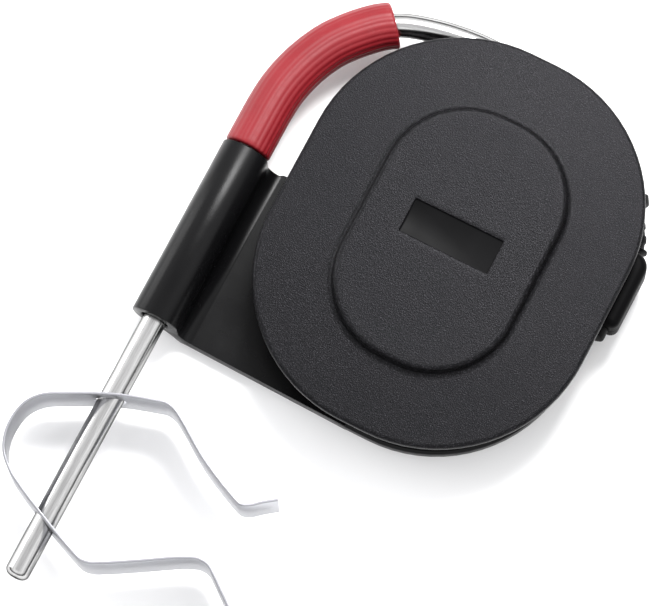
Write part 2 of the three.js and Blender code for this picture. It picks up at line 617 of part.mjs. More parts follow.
const END_GAP = 0.15;
function trimmed(points, atStart, atEnd) {
  const out = points.map((p) => p.clone());
  if (atStart) out[0].lerp(out[1], atStart / out[0].distanceTo(out[1]));
  const n = out.length - 1;
  if (atEnd) out[n].lerp(out[n - 1], atEnd / out[n].distanceTo(out[n - 1]));
  return new StationPath(out);
}
winder.add(piece("cable_wound", swept(trimmed(windingPoints, END_GAP, END_GAP), CABLE.r, 8), "braid"));
winder.add(piece("cable_lead_probe", swept(trimmed(leadProbePoints, 0, END_GAP), CABLE.r, 8), "braid"));
winder.add(piece("cable_lead_plug", swept(trimmed(leadPlugPoints, END_GAP, 0), CABLE.r, 8), "braid"));

const probe = new THREE.Group();
probe.add(piece("probe_tube", probeTube(), "steel"));
probe.add(piece("grip_sleeve", gripSleeve(), "silicone"));
probe.add(piece("crimp_ferrule", crimpFerrule(), "steel"));
probe.add(piece("tip_potting", tipPotting(), "potting"));
probe.add(piece("sensor_bead", sensorBead(), "bead"));
probe.add(piece("lead_wire_a", leadWire(1), "copper"));
probe.add(piece("lead_wire_b", leadWire(-1), "copper"));
probe.add(piece("lead_insulation", leadInsulation(), "fibre"));

const plug = new THREE.Group();
plug.add(piece("plug_body", plugBody().translate([0, PLUG.y0, 0]), "plug"));
plug.add(piece("strain_relief", strainRelief(), "plug"));
plug.add(piece("jack_sleeve", jackSleeve().translate([0, PLUG.y0, 0]), "nickel"));
plug.add(piece("jack_insulator", jackInsulator().translate([0, PLUG.y0, 0]), "insulator"));
plug.add(piece("jack_tip", jackTip().translate([0, PLUG.y0, 0]), "nickel"));
plug.add(piece("tip_lug", tipLug().translate([0, PLUG.y0, 0]), "copper"));

const clip = new THREE.Group();
clip.add(piece("grill_clip", grillClip(), "strip"));

const thermometer = new THREE.Group();
thermometer.add(winder, probe, plug, clip);

export default thermometer;
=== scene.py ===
import math

import bmesh
import bpy
import numpy as np
from mathutils import Matrix, Vector


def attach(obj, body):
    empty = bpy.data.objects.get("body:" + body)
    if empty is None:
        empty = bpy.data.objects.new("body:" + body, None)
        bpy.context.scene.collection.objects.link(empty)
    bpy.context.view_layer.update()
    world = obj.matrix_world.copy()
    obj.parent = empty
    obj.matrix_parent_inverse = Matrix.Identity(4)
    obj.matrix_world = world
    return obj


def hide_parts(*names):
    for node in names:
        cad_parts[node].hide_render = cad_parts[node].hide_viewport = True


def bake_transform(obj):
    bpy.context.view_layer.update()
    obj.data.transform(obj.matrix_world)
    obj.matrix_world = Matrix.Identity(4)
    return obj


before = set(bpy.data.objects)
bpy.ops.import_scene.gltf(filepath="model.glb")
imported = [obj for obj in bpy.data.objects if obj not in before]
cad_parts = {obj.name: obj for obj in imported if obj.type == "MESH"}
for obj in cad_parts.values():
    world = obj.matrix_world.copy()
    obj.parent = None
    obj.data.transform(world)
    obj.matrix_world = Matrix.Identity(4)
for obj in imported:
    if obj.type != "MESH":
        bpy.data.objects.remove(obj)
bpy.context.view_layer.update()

MM = 0.001
scene = bpy.context.scene

# ------------------------------------------------------------------ camera

camera_data = bpy.data.cameras.new("camera")
camera_data.sensor_fit = "HORIZONTAL"
camera_data.sensor_width = 36.0
camera_data.lens = 262.822
camera_data.clip_start = 0.05
camera_data.clip_end = 20.0
camera = bpy.data.objects.new("camera", camera_data)
scene.collection.objects.link(camera)
turn = Matrix(
    (
        (0.88708037, -0.44322108, 0.12900966),
        (0.46130640, 0.86138108, -0.21264766),
        (-0.01687656, 0.24814855, 0.96857497),
    )
)
camera.matrix_world = Matrix.Translation((0.08581418, -0.18097086, 0.75355752)) @ turn.to_4x4()
scene.camera = camera

# ------------------------------------------------------------------ dimensions, in millimetres, as in the CAD

COVER = dict(hx=28.2, hy=34.3, r=26.0, z0=11.2, z1=13.0, edge=0.7)
ISLAND = dict(x=0.17, y=-0.07, hx=15.4, hy=22.3, r=14.0, z1=14.8, draft=1.3)
LABEL = dict(w=15.9, h=6.1, depth=0.4, y=0.33)
REAR = dict(hx=26.45, hy=33.0, r=24.3, t=2.5, edge=0.6)
HUB = dict(hx=12.9, hy=19.0, r=10.7, wall=1.8, z1=10.9)
SKIRT = dict(gap=0.3, wall=1.2, z0=8.6)
BOSS = dict(x=6.5, y=12.0, r=2.7, pilot=1.3, z0=2.8, pilot_top=9.6, top=12.6)
SHEATH = dict(x=-37.0, z=7.0, r=4.1, bore=2.35, y0=-32.3, y1=-0.45)
WEB_Y1 = -0.05
ROD = dict(r=2.0, bore=1.6, tip=-80.0, round=0.7, plug=0.9)
SLEEVE = dict(r=3.98, y0=-0.1, skew=11.0)
PLUG = dict(x=26.2, y0=-0.35, z=6.8, w=8.2, t=7.2, y1=13.3, collar_r=2.85, collar_y=-1.9)
JACK = dict(r=1.25, tip=-12.9)
CLIP = dict(t=0.45, z0=2.6, z1=11.4, hole=2.45)
FERRULE = dict(back=3.2, front=6.2, r=2.75, neck=1.75)

ROD_LINE = [
    (-37.0, -6.0), (-37.0, 1.0), (-37.0, 7.0), (-36.7, 11.6), (-35.8, 15.7), (-34.55, 19.1), (-33.0, 22.1),
    (-31.15, 24.6), (-28.95, 27.0), (-27.15, 28.62), (-25.2, 29.9), (-23.3, 30.8), (-21.4, 31.42), (-19.3, 31.98),
    (-16.5, 32.56), (-13.0, 33.01), (-9.8, 33.155), (-6.5, 32.97), (-3.2, 32.3), (1.0, 31.15), (3.0, 30.55),
]
SLEEVE_END = 10
ROD_END = 19
CLIP_LINE = [
    (-4.9, -50.2), (-6.9, -51.7), (-8.6, -53.1), (-10.0, -53.6), (-11.6, -53.1), (-18.5, -49.8), (-24.6, -45.8),
    (-26.6, -44.7), (-28.2, -44.4), (-30.2, -44.9), (-36.5, -47.0), (-43.2, -50.3), (-46.6, -52.3), (-48.4, -54.6),
    (-49.04, -57.3), (-48.9, -60.25), (-47.8, -63.0), (-45.5, -65.35), (-42.5, -67.15), (-37.3, -69.6), (-30.6, -72.5),
    (-28.4, -73.2), (-26.8, -73.0), (-25.0, -72.1), (-20.6, -69.5), (-13.9, -65.4), (-11.6, -64.5), (-9.9, -64.7),
    (-8.4, -65.7), (-6.2, -67.4), (-3.7, -69.3),
]
RELIEF = [
    (26.2, 12.97, 90, 2.9, 0.6), (25.5, 15.1, 112, 2.5, 1.0), (24.55, 16.95, 117, 2.4, 1.0),
    (23.5, 18.75, 120, 2.3, 1.0), (22.35, 20.6, 120, 3.25, 1.9), (21.6, 21.9, 120, 2.2, 0.6),
]


# ------------------------------------------------------------------ curves

def catmull(points, per=12, first=0, last=None):
    """Centripetal Catmull-Rom line through the points from index first to index last."""
    p = [np.array((*q, 0.0)[:3], float) for q in points]
    p = [2 * p[0] - p[1]] + p + [2 * p[-1] - p[-2]]
    last = len(points) - 1 if last is None else last
    out = []
    for k in range(first, last):
        a, b, c, d = p[k], p[k + 1], p[k + 2], p[k + 3]
        d0, d1, d2 = (math.sqrt(np.linalg.norm(v)) for v in (b - a, c - b, d - c))
        t1 = ((b - a) / d0 - (c - a) / (d0 + d1) + (c - b) / d1) * d1
        t2 = ((c - b) / d1 - (d - b) / (d1 + d2) + (d - c) / d2) * d1
        for i in range(per):
            t = i / per
            out.append(b + t1 * t + (-3 * b + 3 * c - 2 * t1 - t2) * t * t + (2 * b - 2 * c + t1 + t2) * t**3)
    out.append(p[last + 1])
    return np.array(out)


class Line:
    """A polyline by length, with a frame carried along it. normal is across, in plan; binormal is mostly up."""

    def __init__(self, points):
        self.p = np.array(points, float)
        step = np.linalg.norm(np.diff(self.p, axis=0), axis=1)
        keep = np.r_[True, step > 1e-6]
        self.p = self.p[keep]
        step = np.linalg.norm(np.diff(self.p, axis=0), axis=1)
        self.s = np.r_[0, np.cumsum(step)]
        self.length = float(self.s[-1])
        t = np.gradient(self.p, self.s, axis=0)
        self.t = t / np.linalg.norm(t, axis=1)[:, None]
        n = np.cross((0, 0, 1.0), self.t[0])
        if np.linalg.norm(n) < 0.1:
            n = np.array((1.0, 0, 0))
        ns = []
        for d in self.t:
            n = n - d * (n @ d)
            n = n / np.linalg.norm(n)
            ns.append(n)
        self.n = np.array(ns)

    def at(self, s):
        def pick(a):
            return np.array([np.interp(s, self.s, a[:, i]) for i in range(3)])

        p, t, n = pick(self.p), pick(self.t), pick(self.n)
        t /= np.linalg.norm(t)
        if s < 0:
            p = p + t * s
        elif s > self.length:
            p = p + t * (s - self.length)
        n = n - t * (n @ t)
        n /= np.linalg.norm(n)
        return p, t, n, np.cross(t, n)


def bezier(a, da, b, db, n):
    a, da, b, db = (np.array(v, float) for v in (a, da, b, db))
    t = np.linspace(0, 1, n + 1)[:, None]
    return (1 - t) ** 3 * a + 3 * (1 - t) ** 2 * t * (a + da) + 3 * (1 - t) * t**2 * (b - db) + t**3 * b


# ------------------------------------------------------------------ meshes

def mesh_object(name, verts, faces, uvs=None, sharp=38.0):
    """verts in millimetres; uvs is one list of (u, v) per face."""
    me = bpy.data.meshes.new(name)
    me.from_pydata([tuple(float(c) * MM for c in v) for v in verts], [], faces)
    if uvs is not None:
        layer = me.uv_layers.new(name="line")
        flat = [c for face in uvs for pair in face for c in pair]
        layer.data.foreach_set("uv", flat)
    ob = bpy.data.objects.new(name, me)
    scene.collection.objects.link(ob)
    tidy(ob, sharp)
    return ob


def tidy(ob, sharp=38.0):
    bm = bmesh.new()
    bm.from_mesh(ob.data)
    bmesh.ops.recalc_face_normals(bm, faces=bm.faces)
    bm.to_mesh(ob.data)
    bm.free()
    ob.data.shade_smooth()
    ob.data.set_sharp_from_angle(angle=math.radians(sharp))
    return ob


def pipe(line, profile, sides=32, shape=None, closed=False, tilt=None, squash=None):
    """Rings along a line. profile is a list of (length along the line, radius); a radius of 0 is a pole."""
    verts, rings, faces, uvs = [], [], [], []
    run = 0.0
    runs = []
    for i, (s, r) in enumerate(profile):
        p, t, n, b = line.at(s)
        if tilt is not None:
            a = math.radians(tilt(s))
            n = n * math.cos(a) - t * math.sin(a)
        if i:
            run += math.hypot(s - profile[i - 1][0], r - profile[i - 1][1])
        runs.append(run)
        if r < 1e-6:
            rings.append([len(verts)])
            verts.append(p)
            continue
        ring = []
        for k in range(sides):
            a = 2 * math.pi * k / sides
            rr = r if shape is None else shape(r, a, s)
            ring.append(len(verts))
            verts.append(p + rr * (math.cos(a) * n + math.sin(a) * b))
        rings.append(ring)
    order = list(range(len(rings) - 1)) + ([len(rings) - 1] if closed else [])
    for i in order:
        A, B = rings[i], rings[(i + 1) % len(rings)]
        v0, v1 = runs[i], runs[i + 1] if i + 1 < len(runs) else runs[i] + 1.0
        for k in range(sides):
            k2, u0, u1 = (k + 1) % sides, k / sides, (k + 1) / sides
            if len(A) == 1 and len(B) == 1:
                break
            if len(A) == 1:
                faces.append((A[0], B[k2], B[k]))
                uvs.append(((u0, v0), (u1, v1), (u0, v1)))
            elif len(B) == 1:
                faces.append((A[k], A[k2], B[0]))
                uvs.append(((u0, v0), (u1, v0), (u0, v1)))
            else:
                faces.append((A[k], A[k2], B[k2], B[k]))
                uvs.append(((u0, v0), (u1, v0), (u1, v1), (u0, v1)))
    return verts, faces, uvs


def merged(*parts):
    verts, faces, uvs = [], [], []
    for v, f, u in parts:
        base = len(verts)
        verts += list(v)
        faces += [tuple(i + base for i in face) for face in f]
        uvs += list(u)
    return verts, faces, uvs


def rr(hx, hy, r, z, cx=0.0, cy=0.0, n=18):
    """Rounded rectangle loop at a height."""
    out = []
    for x, y, start in ((hx - r, hy - r, 0), (-hx + r, hy - r, 90), (-hx + r, -hy + r, 180), (hx - r, -hy + r, 270)):
        for i in range(n + 1):
            a = math.radians(start + 90 * i / n)
            out.append((cx + x + r * math.cos(a), cy + y + r * math.sin(a), z))
    return out


def loft(loops):
    """Closed body through loops of the same length, first and last capped."""
    n = len(loops[0])
    verts = [v for loop in loops for v in loop]
    faces = [tuple(range(n))]
    for i in range(len(loops) - 1):
        for k in range(n):
            k2 = (k + 1) % n
            faces.append((i * n + k, i * n + k2, (i + 1) * n + k2, (i + 1) * n + k))
    faces.append(tuple((len(loops) - 1) * n + k for k in reversed(range(n))))
    uvs = [[(verts[i][0], verts[i][1]) for i in f] for f in faces]
    return verts, faces, uvs


def prism(points, z0, z1, to=lambda x, y, z: (x, y, z)):
    n = len(points)
    verts = [to(x, y, z0) for x, y in points] + [to(x, y, z1) for x, y in points]
    faces = [tuple(reversed(range(n))), tuple(range(n, 2 * n))]
    faces += [(k, (k + 1) % n, n + (k + 1) % n, n + k) for k in range(n)]
    return verts, faces, None


def tool(part):
    return mesh_object("tool", part[0], part[1], None)


def combine(ob, cutter, operation):
    m = ob.modifiers.new("join", "BOOLEAN")
    m.operation, m.object, m.solver = operation, cutter, "EXACT"
    bpy.context.view_layer.update()
    deps = bpy.context.evaluated_depsgraph_get()
    me = bpy.data.meshes.new_from_object(ob.evaluated_get(deps))
    ob.modifiers.clear()
    old, ob.data = ob.data, me
    me.name = ob.name
    bpy.data.meshes.remove(old)
    bpy.data.objects.remove(cutter, do_unlink=True)
    return ob


def upright(x, y, profile, sides=40):
    """A turned body on a Z axis; profile is (z, radius)."""
    return pipe(Line([(x, y, -50.0), (x, y, 50.0)]), [(z + 50.0, r) for z, r in profile], sides)


def along_y(x, z, profile, sides=48, closed=False, y0=0.0):
    return pipe(Line([(x, y0 - 50.0, z), (x, y0 + 50.0, z)]), [(y + 50.0, r) for y, r in profile], sides, closed=closed)


def arc(cx, cy, r, a0, a1, n):
    return [(cx + r * math.cos(math.radians(a0 + (a1 - a0) * i / n)), cy + r * math.sin(math.radians(a0 + (a1 - a0) * i / n))) for i in range(n + 1)]


# ------------------------------------------------------------------ the cable's real route

TURN = 24
CORNERS = [(3, (1, -1), 0), (1, (-1, -1), -90), (3, (-1, 1), -180), (1, (1, 1), -270)]
LANES = [3.9, 6.6, 9.3]
LAYERS = [1.25, 3.45, 5.65, 7.6]
WIND_END = 164


def on_hub(s, offset, z):
    phase = s % TURN
    sx, sy, r = HUB["hx"] - HUB["r"], HUB["hy"] - HUB["r"], HUB["r"] + offset
    for k, (flank, centre, start) in enumerate(CORNERS):
        cx, cy = centre[0] * sx, centre[1] * sy
        before = CORNERS[(k + 3) % 4][1]
        if phase <= flank:
            t, a = phase / flank, math.radians(start)
            x, y = before[0] * sx * (1 - t) + cx * t, before[1] * sy * (1 - t) + cy * t
            return np.array((x + r * math.cos(a), y + r * math.sin(a), z))
        phase -= flank
        if phase <= 4:
            a = math.radians(start - 22.5 * phase)
            return np.array((cx + r * math.cos(a), cy + r * math.sin(a), z))
        phase -= 4
    raise ValueError(s)


def ease(s, a, b):
    t = min(max((s - a) / (b - a), 0), 1)
    return t * t * (3 - 2 * t)


def lane(s):
    z = LANES[0]
    for to, a, b in ((1, 15, 19), (2, 39, 43), (1, 80, 84), (2, 121, 124.5)):
        z += (LANES[to] - z) * ease(s, a, b)
    return z


def layer_of(s):
    d = LAYERS[0]
    for to, a, b in ((1, 60, 63), (2, 100, 104), (3, 141, 144)):
        d += (LAYERS[to] - d) * ease(s, a, b)
    return d


def unit(v):
    return v / np.linalg.norm(v)


rod_points = np.array(
    [(-37.0, y, 0.0) for y in np.r_[ROD["tip"], np.arange(-78.0, 6.9, 2.0)]]
)
rod_points = np.vstack([rod_points[rod_points[:, 1] < 6.8], catmull(ROD_LINE, 10, 2, ROD_END)])
rod_points[:, 2] = SHEATH["z"]
rod_line = Line(rod_points)
rod_end, end_dir = rod_line.p[-1], rod_line.t[-1]

wind = [on_hub(s, layer_of(s), lane(s)) for s in np.arange(0, WIND_END + 1e-6, 0.25)]
start = rod_end + end_dir * (FERRULE["front"] - 4.0)
mouth = start + end_dir * 4.6
middle = on_hub(21.3, 8.4, LANES[0])
middle_dir = unit(on_hub(21.8, 7.6, LANES[0]) - on_hub(20.8, 9.2, LANES[0]))
lead_probe = np.vstack(
    [
        np.linspace(start, mouth, 8)[:-1],
        bezier(mouth, end_dir * 3.0, middle, middle_dir * 4.0, 22)[:-1],
        bezier(middle, middle_dir * 6.5, wind[0], np.array((0, -6.5, 0)), 30),
    ]
)
relief_out = np.array((math.cos(math.radians(120)), math.sin(math.radians(120)), 0))
relief_mouth = np.array((RELIEF[-1][0], RELIEF[-1][1], PLUG["z"]))
wind_dir = unit(wind[-1] - wind[-2])
lead_plug = np.vstack(
    [
        bezier(wind[-1], wind_dir * 8, relief_mouth, relief_out * -8, 44),
        [(RELIEF[i][0], RELIEF[i][1], PLUG["z"]) for i in (4, 3, 2)],
    ]
)


def cable(name, points, sides=16):
    line = Line(points)
    end = line.length
    stations = [(0.0, 0.0), (0.0, 0.85), (0.12, 1.0)]
    count = max(8, int(end / 0.8))
    stations += [(0.12 + (end - 0.24) * i / count, 1.0) for i in range(1, count)]
    stations += [(end - 0.12, 1.0), (end, 0.85), (end, 0.0)]
    ob = mesh_object(name, *pipe(line, stations, sides))
    return ob, line


winding, winding_line = cable("cable_winding", wind)
probe_lead, probe_lead_line = cable("cable_probe_lead", lead_probe)
plug_lead, plug_lead_line = cable("cable_plug_lead", lead_plug)
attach(winding, "winder")
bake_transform(probe_lead)
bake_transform(plug_lead)
for ob, node in ((winding, "cable_wound"), (probe_lead, "cable_lead_probe"), (plug_lead, "cable_lead_plug")):
    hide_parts(node)
print("cable", round(winding_line.length, 1), round(probe_lead_line.length, 1), round(plug_lead_line.length, 1))


# ------------------------------------------------------------------ materials

class Nodes:
    """A material's node tree, with short calls. A link is given as a socket, a number or a colour as itself."""

    def __init__(self, name):
        self.m = bpy.data.materials.new(name)
        self.m.use_nodes = True
        self.t = self.m.node_tree
        self.t.nodes.clear()
        self.out = self.t.nodes.new("ShaderNodeOutputMaterial")
        self.b = self.t.nodes.new("ShaderNodeBsdfPrincipled")
        self.t.links.new(self.b.outputs[0], self.out.inputs[0])

    def put(self, socket, value):
        if isinstance(value, bpy.types.NodeSocket):
            self.t.links.new(value, socket)
        else:
            socket.default_value = value

    def node(self, kind, inputs=None, **props):
        n = self.t.nodes.new(kind)
        for k, v in props.items():
            setattr(n, k, v)
        for k, v in (inputs or {}).items():
            self.put(n.inputs[k], v)
        return n

    def place(self):
        return self.node("ShaderNodeTexCoord").outputs["Object"]

    def uv(self):
        return self.node("ShaderNodeUVMap", uv_map="line").outputs[0]

    def noise(self, vector, scale, detail=2.0, rough=0.5):
        return self.node("ShaderNodeTexNoise", {"Vector": vector, "Scale": scale, "Detail": detail, "Roughness": rough}).outputs[0]

    def cells(self, vector, scale):
        return self.node("ShaderNodeTexVoronoi", {"Vector": vector, "Scale": scale}).outputs["Distance"]

    def math(self, op, a, b=0.0, c=0.0):
        n = self.node("ShaderNodeMath", operation=op)
        self.put(n.inputs[0], a)
        self.put(n.inputs[1], b)
        self.put(n.inputs[2], c)
        return n.outputs[0]

    def span(self, value, a, b, c, d):
        return self.node(
            "ShaderNodeMapRange", {"Value": value, "From Min": a, "From Max": b, "To Min": c, "To Max": d}, clamp=True
        ).outputs[0]

    def stretch(self, vector, scale):
        return self.node("ShaderNodeVectorMath", {0: vector, 1: scale}, operation="MULTIPLY").outputs[0]

    def mix(self, f, a, b):
        n = self.node("ShaderNodeMix", data_type="RGBA")
        self.put(n.inputs[0], f)
        self.put(n.inputs[6], a)
        self.put(n.inputs[7], b)
        return n.outputs[2]

    def bump(self, height, strength, distance, normal=None):
        inputs = {"Height": height, "Strength": strength, "Distance": distance}
        if normal is not None:
            inputs["Normal"] = normal
        return self.node("ShaderNodeBump", inputs).outputs[0]

    def set(self, **kw):
        for k, v in kw.items():
            self.put(self.b.inputs[k.replace("_", " ")], v)
        return self


def grey(v, a=1.0):
    return (v * 0.985, v * 0.97, v * 1.07, a)


def grained(name, base, glint_colour, rough, level=0.32):
    """Spark-eroded moulding: fine round grain, with grain tops lightened as a painted glint, and slow random tone
    changes.
    """
    m = Nodes(name)
    p = m.place()
    grain = m.noise(p, 5000.0, 3.0, 0.62)
    pits = m.cells(p, 5200.0)
    slow = m.noise(p, 55.0, 2.0)
    height = m.math("ADD", grain, m.math("MULTIPLY", pits, 0.5))
    # painted highlight: the grain tops are lightened towards the glint colour, standing in for glints on the peaks
    top = m.span(grain, 0.54, 0.68, 0.0, 1.0)
    tone = m.mix(m.span(slow, 0.3, 0.7, 0.0, 1.0), grey(base * 0.93), grey(base * 1.07))
    m.set(Base_Color=m.mix(m.math("MULTIPLY", top, 0.8), tone, grey(glint_colour)))
    m.set(Roughness=m.span(grain, 0.35, 0.7, rough + 0.06, rough - 0.05))
    m.set(Normal=m.bump(height, 0.5, 0.00012))
    m.b.inputs["Specular IOR Level"].default_value = level
    m.b.inputs["Specular Tint"].default_value = (0.94, 0.93, 1.0, 1)
    return m.m


def smooth_moulding(name, base, rough, level=0.3):
    """Plain moulding: faint flow marks, handling smears in the gloss, and a very fine texture."""
    m = Nodes(name)
    p = m.place()
    fine = m.noise(p, 2600.0, 2.0)
    flow = m.noise(m.stretch(p, (1.0, 0.25, 1.0)), 160.0, 3.0)
    smear = m.noise(p, 70.0, 3.0, 0.6)
    m.set(Base_Color=m.mix(m.span(flow, 0.3, 0.7, 0.0, 1.0), grey(base * 0.85), grey(base * 1.25)))
    m.set(Roughness=m.span(smear, 0.35, 0.68, rough - 0.05, rough + 0.09))
    m.set(Normal=m.bump(fine, 0.16, 0.00004, m.bump(flow, 0.1, 0.00012)))
    m.b.inputs["Specular IOR Level"].default_value = level
    return m.m


def streaked_metal(name, colour, rough, along=None, strength=0.05, line=True, marks=0.5, rim=1.0):
    """Drawn or rolled metal: fine streaks along its length, small stains and dull spots."""
    m = Nodes(name)
    v = m.uv() if line else m.place()
    streak = m.noise(m.stretch(v, along), 1.0, 3.0, 0.6)
    p = m.place()
    stain = m.noise(p, 420.0, 3.0, 0.6)
    slow = m.noise(p, 90.0, 2.0)
    dark = tuple(c * 0.80 for c in colour[:3]) + (1,)
    shade = m.math("MULTIPLY", m.span(streak, 0.42, 0.66, 0.0, 1.0), marks)
    spots = m.math("MULTIPLY", m.span(stain, 0.60, 0.74, 0.0, 1.0), 0.5)
    m.set(Base_Color=m.mix(m.math("MAXIMUM", shade, spots), colour, dark))
    m.set(Roughness=m.math("ADD", m.span(streak, 0.3, 0.7, rough - 0.03, rough + 0.05), m.span(slow, 0.3, 0.7, -0.02, 0.03)))
    m.set(Normal=m.bump(streak, strength, 0.00003))
    m.b.inputs["Metallic"].default_value = 1.0
    m.b.inputs["Specular Tint"].default_value = (rim, rim, rim, 1)
    return m.m


cover_m = grained("cover grained", 0.0032, 0.048, 0.28, 0.085)
label_m = smooth_moulding("label floor", 0.0026, 0.44, 0.05)
rear_m = smooth_moulding("moulding smooth", 0.0026, 0.28, 0.13)
plug_m = smooth_moulding("plug moulding", 0.0018, 0.44, 0.03)
insulator_m = smooth_moulding("insulator", 0.0080, 0.36)
steel_m = streaked_metal("steel drawn", (0.47, 0.468, 0.465, 1), 0.17, (60.0, 0.25, 1.0), 0.16, marks=1.0, rim=0.02)
ferrule_m = streaked_metal("steel turned", (0.43, 0.43, 0.44, 1), 0.24, (3.0, 26.0, 1.0), 0.14)
strip_m = streaked_metal("spring strip", (0.53, 0.535, 0.565, 1), 0.28, (0.35, 34.0, 1.0), 0.14, marks=0.5, rim=0.62)
# darker colour here is painted shade along the strip's edges; the higher roughness is the sheared finish
strip_edge_shade_m = streaked_metal("strip edge painted shade", (0.30, 0.30, 0.32, 1), 0.36, (0.6, 60.0, 1.0), 0.2, marks=0.6, rim=0.5)
nickel_m = streaked_metal("nickel plate", (0.55, 0.53, 0.49, 1), 0.16, (3.0, 30.0, 1.0), 0.08)
zinc_m = streaked_metal("zinc plate", (0.58, 0.585, 0.60, 1), 0.30, (900.0, 900.0, 900.0), 0.10, line=False)
copper_m = streaked_metal("copper drawn", (0.78, 0.43, 0.25, 1), 0.24, (2600.0, 160.0, 2600.0), 0.10, line=False)


def silicone():
    m = Nodes("silicone red")
    p = m.place()
    fine = m.noise(p, 2400.0, 3.0, 0.6)
    slow = m.noise(p, 130.0, 2.0)
    dust = m.noise(p, 900.0, 4.0, 0.7)
    tone = m.mix(m.span(slow, 0.3, 0.7, 0.0, 1.0), (0.154, 0.0053, 0.0092, 1), (0.180, 0.0068, 0.0112, 1))
    m.set(Base_Color=m.mix(m.math("MULTIPLY", m.span(dust, 0.58, 0.76, 0.0, 1.0), 0.14), tone, (0.30, 0.085, 0.085, 1)))
    m.set(Roughness=m.span(dust, 0.4, 0.7, 0.44, 0.56))
    m.set(Normal=m.bump(fine, 0.20, 0.00005))
    m.b.inputs["Specular IOR Level"].default_value = 0.30
    m.b.inputs["Subsurface Weight"].default_value = 0.06
    m.b.inputs["Subsurface Radius"].default_value = (0.0012, 0.0003, 0.0003)
    m.b.inputs["Subsurface Scale"].default_value = 1.0
    return m.m


def braid():
    """Two sets of flat wire strands crossing round the cable, with gaps between them."""
    m = Nodes("cable braid")
    split = m.node("ShaderNodeSeparateXYZ", {0: m.uv()})
    u, v = split.outputs[0], split.outputs[1]
    turns = m.math("MULTIPLY", u, 8.0)
    pitch = m.math("MULTIPLY", v, 1.05)
    one = m.math("FRACT", m.math("ADD", turns, pitch))
    two = m.math("FRACT", m.math("SUBTRACT", turns, pitch))
    hump = [m.math("SINE", m.math("MULTIPLY", f, math.pi)) for f in (one, two)]
    over = m.math("SINE", m.math("MULTIPLY", m.math("ADD", turns, m.math("MULTIPLY", pitch, 2.0)), math.pi))
    pick = m.span(over, -0.15, 0.15, 0.0, 1.0)
    a = m.math("MULTIPLY", hump[0], m.math("ADD", m.math("MULTIPLY", pick, 0.5), 0.5))
    b = m.math("MULTIPLY", hump[1], m.math("SUBTRACT", 1.0, m.math("MULTIPLY", pick, 0.5)))
    height = m.math("MAXIMUM", a, b)
    wires = m.noise(m.stretch(m.uv(), (150.0, 3.0, 1.0)), 1.0, 2.0)
    # painted shade: colour darkens with the braid's height, so the crevices, the gaps and the strands that pass under
    # are darker
    m.set(Base_Color=m.mix(m.span(height, 0.25, 0.75, 0.0, 1.0), (0.03, 0.03, 0.033, 1), (0.34, 0.34, 0.35, 1)))
    m.set(Roughness=m.span(wires, 0.3, 0.7, 0.24, 0.40))
    m.set(Normal=m.bump(height, 0.8, 0.00016))
    m.b.inputs["Metallic"].default_value = 0.95
    return m.m


def cast(name, colour, rough, scale=1800.0, wet=0.0):
    m = Nodes(name)
    p = m.place()
    n = m.noise(p, scale, 3.0)
    low = tuple(c * 0.8 for c in colour[:3]) + (1,)
    m.set(Base_Color=m.mix(m.span(n, 0.35, 0.65, 0.0, 1.0), colour, low))
    m.set(Roughness=m.span(n, 0.3, 0.7, rough - 0.08, rough + 0.08))
    m.set(Normal=m.bump(n, 0.3, 0.00006))
    m.b.inputs["Coat Weight"].default_value = wet
    return m.m


def fibre():
    m = Nodes("glass fibre sleeving")
    p = m.place()
    split = m.node("ShaderNodeSeparateXYZ", {0: p})
    angle = m.math("ARCTAN2", m.math("SUBTRACT", split.outputs[2], 0.007), m.math("ADD", split.outputs[0], 0.037))
    a = m.math("SINE", m.math("ADD", m.math("MULTIPLY", angle, 8.0), m.math("MULTIPLY", split.outputs[1], 5200.0)))
    b = m.math("SINE", m.math("SUBTRACT", m.math("MULTIPLY", angle, 8.0), m.math("MULTIPLY", split.outputs[1], 5200.0)))
    h = m.math("MAXIMUM", a, b)
    # painted shade: the weave is darker where it is low, in its hollows
    m.set(Base_Color=m.mix(m.span(h, -0.2, 0.9, 0.0, 1.0), (0.55, 0.52, 0.44, 1), (0.82, 0.79, 0.70, 1)))
    m.set(Normal=m.bump(h, 0.6, 0.0001))
    m.b.inputs["Roughness"].default_value = 0.8
    return m.m


silicone_m, braid_m, fibre_m = silicone(), braid(), fibre()
potting_m = cast("potting cast", (0.72, 0.66, 0.52, 1), 0.62)
bead_m = cast("bead lacquer", (0.035, 0.055, 0.035, 1), 0.28, 900.0, 0.4)


def dress(ob, *materials):
    ob.data.materials.clear()
    for m in materials:
        ob.data.materials.append(m)
    return ob


for ob in (winding, probe_lead, plug_lead):
    dress(ob, braid_m)


def settle(ob, body, nodes, slot, *materials):
    if materials:
        dress(ob, *materials)
    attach(ob, body)
    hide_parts(*nodes)
    return ob


# ------------------------------------------------------------------ front cover

